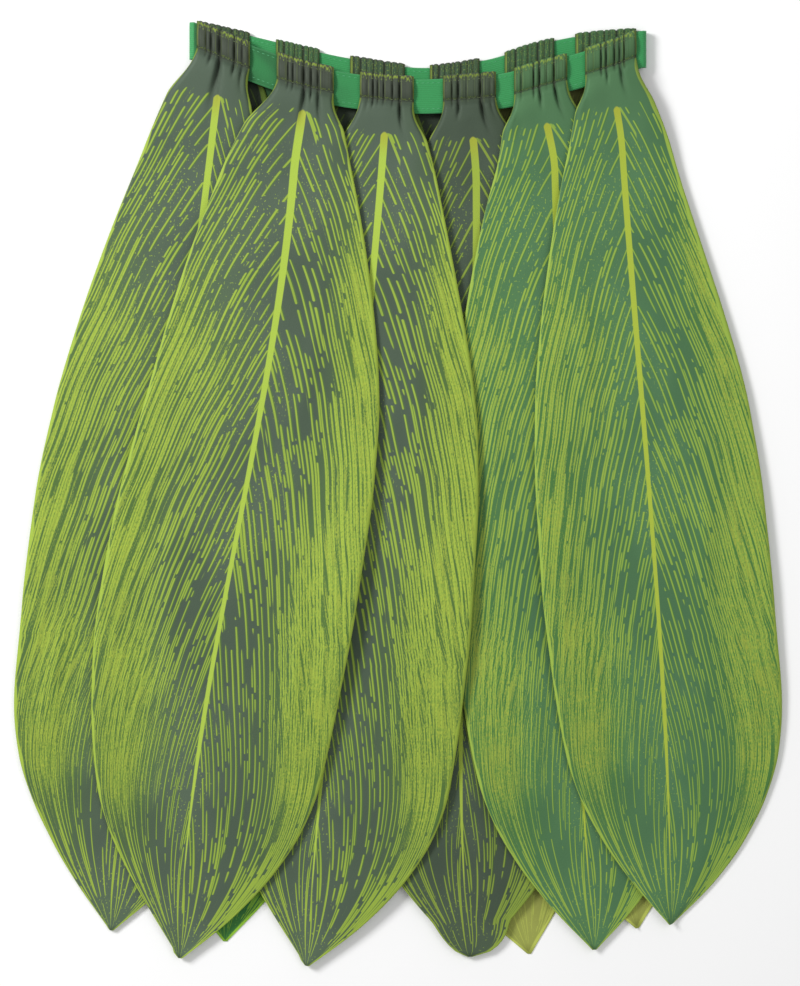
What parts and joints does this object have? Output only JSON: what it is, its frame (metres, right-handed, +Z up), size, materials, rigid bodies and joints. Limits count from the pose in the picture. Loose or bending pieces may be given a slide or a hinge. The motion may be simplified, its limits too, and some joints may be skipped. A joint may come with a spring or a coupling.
{
  "type": "ti leaf skirt",
  "caption": "Elastic-waist skirt of overlapping printed cloth leaves, each gathered over a green waist tape, laid flat with its front up.",
  "frame": {"origin": "centre of the skirt's outline on the surface it lies on", "axes": "+Z up from the surface, out of the skirt's front; +Y from the hem to the waist; +X to the right of the front as seen from above"},
  "size_m": [0.4937, 0.6083, 0.0142],
  "materials": {
    "grey_green_print": "thin woven polyester, grey green ground with a lime leaf print",
    "green_print": "thin woven polyester, green ground with a lime leaf print",
    "elastic_tape": "woven elastic tape, fine ribs along its length"
  },
  "bodies": {
    "root": {"waist_tape": "elastic_tape", "front_leaf_1": "grey_green_print", "front_leaf_2": "grey_green_print", "front_leaf_3": "grey_green_print", "front_leaf_4": "grey_green_print", "front_leaf_5": "green_print", "front_leaf_6": "green_print", "back_leaf_1": "grey_green_print", "back_leaf_2": "green_print", "back_leaf_3": "grey_green_print", "back_leaf_4": "grey_green_print", "back_leaf_5": "green_print", "back_leaf_6": "green_print"}
  },
  "joints": []
}
